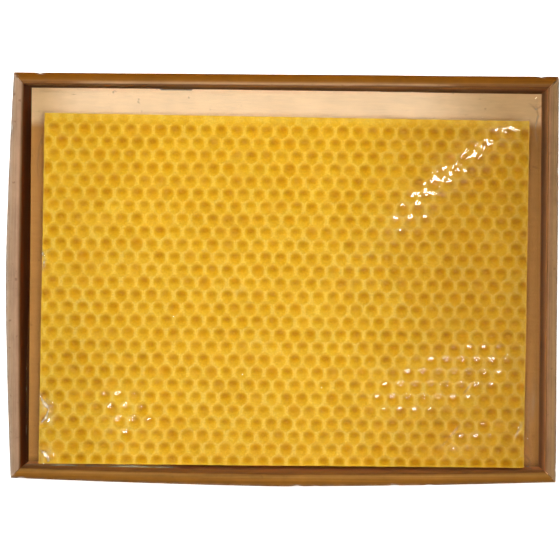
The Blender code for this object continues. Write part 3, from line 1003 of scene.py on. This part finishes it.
def inner_face(wall, along):
    """Where the film stops short of a wall's inner board, at a place along it, in the pack's frame."""
    own_along = -along if wall == "front" else along
    lean = np.maximum(foot_lean(wall, own_along), 0.0) * (0.3 if wall == "front" else 1.0)
    room = FILM_ROOM + lean
    turn = math.tan(PACK_TURN)
    if wall in LONG_WALLS:
        reach, off, skew = CORNER_D / 2, MIDDLE_Y - PACK_MIDDLE.y, -turn * along
        half = CORNER_W / 2
    else:
        reach, off, skew = CORNER_W / 2, MIDDLE_X - PACK_MIDDLE.x, turn * along
        half = CORNER_D / 2
    bow = BOW_SHARES.get(wall, 0.0) * INNER_BOWS.get(wall, 0.0) * (1 - np.abs(along / half) ** BOW_POWER)
    side = -1 if wall in ("left", "front") else 1
    return off + skew + side * (reach - RIM_W - room + bow)


def moved_out(place, edge, low, target):
    """Grid places past edge, moved so that the outermost line goes from low to target."""
    share = np.clip((place - edge) / (low - edge), 0, 1)
    return place + (target - low) * share


def upper_film():
    """The bag's upper film: over the sheets, down beside them and up the tray's walls."""
    half_w, half_d = SHEET_W / 2 + FALL_BEYOND_X, SHEET_D / 2 + FALL_BEYOND_Y
    low_x, high_x = inner_face("left", 0.0), inner_face("right", 0.0)
    low_y, high_y = -half_d - 2 * MM, inner_face("back", 0.0)
    xs = film_lines(low_x, -half_w, half_w, high_x)
    ys = film_lines(low_y, -half_d, half_d, high_y)
    x, y = np.meshgrid(xs, ys, indexing="ij")
    room = np.minimum(np.minimum(x - xs[0], xs[-1] - x), np.minimum(y - ys[0], ys[-1] - y))
    left, right = inner_face("left", y), inner_face("right", y)
    front, back = inner_face("front", x), inner_face("back", x)
    x = moved_out(moved_out(x, -half_w, low_x, left), half_w, high_x, right)
    y = moved_out(moved_out(y, -half_d, low_y, front), half_d, high_y, back)
    past_x = np.maximum(np.maximum(-half_w - x, x - half_w), 0)
    front_edge = half_d + np.interp(x, (-half_w, half_w), FRONT_EDGE_SKEW)
    past_y = np.maximum(np.maximum(-front_edge - y, y - half_d), 0)
    past = np.hypot(past_x, past_y)
    beside = past > 0
    along = np.where(past_x > past_y, y, x)
    relief, haze, gloss = film_on_comb(x, y)
    floor = BASE_HIGH.z + 0.9 * MM
    fall = (1.6 + 0.7 * ripples(along * 30, 0 * past, 5.0)) * MM
    drop = smoothstep(past / fall) * np.where(y < -half_d, 0.12, 1.0)
    z = (STACK_TOP + relief * (1 - drop)) * (1 - drop) + floor * drop
    loose = ripples(along * 80, past * 120, 11.0, 4)
    z += 0.45 * MM * loose * smoothstep(past / (1.2 * MM))
    for crease in SIDE_CREASES:
        share = crease_share(x, y, crease) * beside
        z += share * crease[1] * MM
        haze = np.maximum(haze, share * crease[2])
    climb = climb_of(x, y, half_w, half_d)
    up = 1 - smoothstep(room / (0.7 * MM))
    z = np.where(beside, np.maximum(z, floor + climb * up), z)
    z = np.minimum(z, HEIGHT - 1.2 * MM)
    z = np.maximum(z, floor - 0.4 * MM)
    edge = 1 - smoothstep(room / (0.28 * MM))
    ragged = np.clip(0.5 + ripples(along * 130, 0 * past, 95.0), 0, 1)
    low_left = (x < -half_w) * smoothstep((-10 * MM - y) / (25 * MM))
    haze = np.maximum(haze, edge * ragged * 0.55 * low_left)
    before_stack = y < np.minimum(-half_d - 0.7 * MM, -front_edge - 0.1 * MM)
    bunched = smoothstep((-34 * MM - x) / (12 * MM)) * before_stack
    haze = np.maximum(haze, bunched * np.clip(0.22 + 0.55 * ripples(x * 40, y * 900, 81.0), 0, 1))
    crinkled = smoothstep((-26 * MM - y) / (12 * MM)) * (x > half_w)
    haze = np.maximum(haze, crinkled * np.clip(0.03 + 0.16 * ripples(x * 260, y * 110, 83.0), 0, 1))
    gloss = np.where(beside, 0.35, gloss)
    return x, y, z, haze, gloss


def lower_film():
    """The bag's lower film, flat under the stack with a few ripples out to the walls."""
    low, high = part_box("bag_lower_film")
    half_w, half_d = SHEET_W / 2, SHEET_D / 2
    xs = spaced(low.x + 0.8 * MM - PACK_MIDDLE.x, high.x - 0.8 * MM - PACK_MIDDLE.x, 0.9 * MM)
    ys = spaced(low.y + 1.3 * MM - PACK_MIDDLE.y, high.y - 1.2 * MM - PACK_MIDDLE.y, 0.9 * MM)
    x, y = np.meshgrid(xs, ys, indexing="ij")
    past = np.maximum(np.maximum(np.abs(x) - half_w, np.abs(y) - half_d), 0)
    z = low.z + 0.12 * MM + 0.16 * MM * (1 + ripples(x * 90, y * 90, 71.0)) * smoothstep(past / (1.5 * MM))
    return x, y, z, np.zeros(np.shape(z)), np.full(np.shape(z), 0.3)


def film_piece(name, x, y, z, haze, gloss, replaced):
    """A film as one gridded sheet in the pack's frame."""
    place = Matrix.Translation((PACK_MIDDLE.x, PACK_MIDDLE.y, 0)) @ Matrix.Rotation(PACK_TURN, 4, "Z")
    points = np.stack([x.ravel(), y.ravel(), z.ravel()], 1)
    index = np.arange(x.size).reshape(x.shape)
    quads = [index[:-1, :-1], index[1:, :-1], index[1:, 1:], index[:-1, 1:]]
    mesh = mesh_from(name, points.tolist(), np.stack(quads, -1).reshape(-1, 4).tolist())
    add_values(mesh, "haze", np.clip(haze, 0, 1).ravel())
    add_values(mesh, "gloss", np.asarray(gloss).ravel())
    mesh.transform(place)
    return new_object(name, mesh, FILM, "pack", "clear_film", replaced)


upper = film_piece("bag_upper_sheet", *upper_film(), "bag_upper_film")
lower = film_piece("bag_lower_sheet", *lower_film(), "bag_lower_film")

# ---------------------------------------------------------------- stage, lamps and camera

CAMERA_ABOVE_RIM = 1.5
PICTURE_WIDTH = 196.7 * MM  # what the picture takes in at the height of the rim
CAMERA_OFF_X, CAMERA_OFF_Y = -1.64 * MM, -0.81 * MM
CAMERA_TURN = math.radians(0.47)
FLOOR_WHITE = (0.9, 0.9, 0.9)
# Painted shade of the floor under the tray.
SHADE_UNDER_TRAY = srgb(70, 44, 24)  # seen only through the slots and creases


def stage():
    bm = bmesh.new()
    bmesh.ops.create_grid(bm, x_segments=1, y_segments=1, size=3.0)
    mesh = bpy.data.meshes.new("floor")
    bm.to_mesh(mesh)
    bm.free()
    floor = bpy.data.objects.new("floor", mesh)
    bpy.context.scene.collection.objects.link(floor)
    n = Nodes("pale_floor")
    n.finish(colour=FLOOR_WHITE, roughness=0.9)
    beside = n.math("SUBTRACT", n.math("ABSOLUTE", n.axis("X")), CORNER_W / 2)
    before = n.math("SUBTRACT", n.math("ABSOLUTE", n.axis("Y")), CORNER_D / 2)
    past = n.math("MAXIMUM", beside, before)
    n.put(n.shader.inputs["Emission Strength"], n.remap(past, -2 * MM, 0.5 * MM, 0.0, 0.9))
    shade = n.mix(n.remap(past, -3 * MM, -2 * MM), SHADE_UNDER_TRAY, FLOOR_WHITE)
    n.put(n.shader.inputs["Base Color"], shade)
    n.shader.inputs["Emission Color"].default_value = (1, 1, 1, 1)
    mesh.materials.append(n.material)


def lamp(name, place, aim, size, power, colour=(1, 1, 1), spread=180.0, **visible):
    data = bpy.data.lights.new(name, "AREA")
    data.shape = "RECTANGLE"
    data.size, data.size_y = size
    data.energy = power
    data.color = colour
    data.spread = math.radians(spread)
    obj = bpy.data.objects.new(name, data)
    bpy.context.scene.collection.objects.link(obj)
    obj.location = place
    obj.rotation_mode = "QUATERNION"
    obj.rotation_quaternion = (Vector(aim) - Vector(place)).to_track_quat("-Z", "Y")
    obj.visible_camera = False
    for key, value in visible.items():
        setattr(obj, key, value)


def camera():
    """Straight above the tray, turned so that the tray stands a hair clockwise in the picture."""
    data = bpy.data.cameras.new("camera")
    data.sensor_width = 36.0
    data.lens = data.sensor_width * CAMERA_ABOVE_RIM / PICTURE_WIDTH
    data.clip_start = 0.05
    data.clip_end = 20.0
    obj = bpy.data.objects.new("camera", data)
    bpy.context.scene.collection.objects.link(obj)
    obj.location = (MIDDLE_X + CAMERA_OFF_X, MIDDLE_Y + CAMERA_OFF_Y, HEIGHT + CAMERA_ABOVE_RIM)
    obj.rotation_euler = (0, 0, CAMERA_TURN)
    bpy.context.scene.camera = obj


def world():
    scene_world = bpy.data.worlds.new("studio")
    scene_world.use_nodes = True
    background = scene_world.node_tree.nodes["Background"]
    background.inputs["Color"].default_value = (1.0, 0.99, 0.97, 1)
    background.inputs["Strength"].default_value = 0.09
    bpy.context.scene.world = scene_world


stage()
world()
camera()
lamp("key", (-0.015, 0.03, 0.95), (-0.03, 0.0, 0.0), (0.24, 0.12), 0.48, spread=40.0, visible_glossy=False)
lamp("back_lamp", (0.0, 0.75, 0.85), (0.0, 0.0, 0.02), (0.30, 0.20), 2.2, visible_glossy=False)
lamp("glint", (0.14, -0.40, 0.90), (0.0, 0.0, 0.02), (0.50, 0.13), 8.5, visible_diffuse=False)
view = bpy.context.scene.view_settings
view.view_transform = "Standard"
view.look = "None"
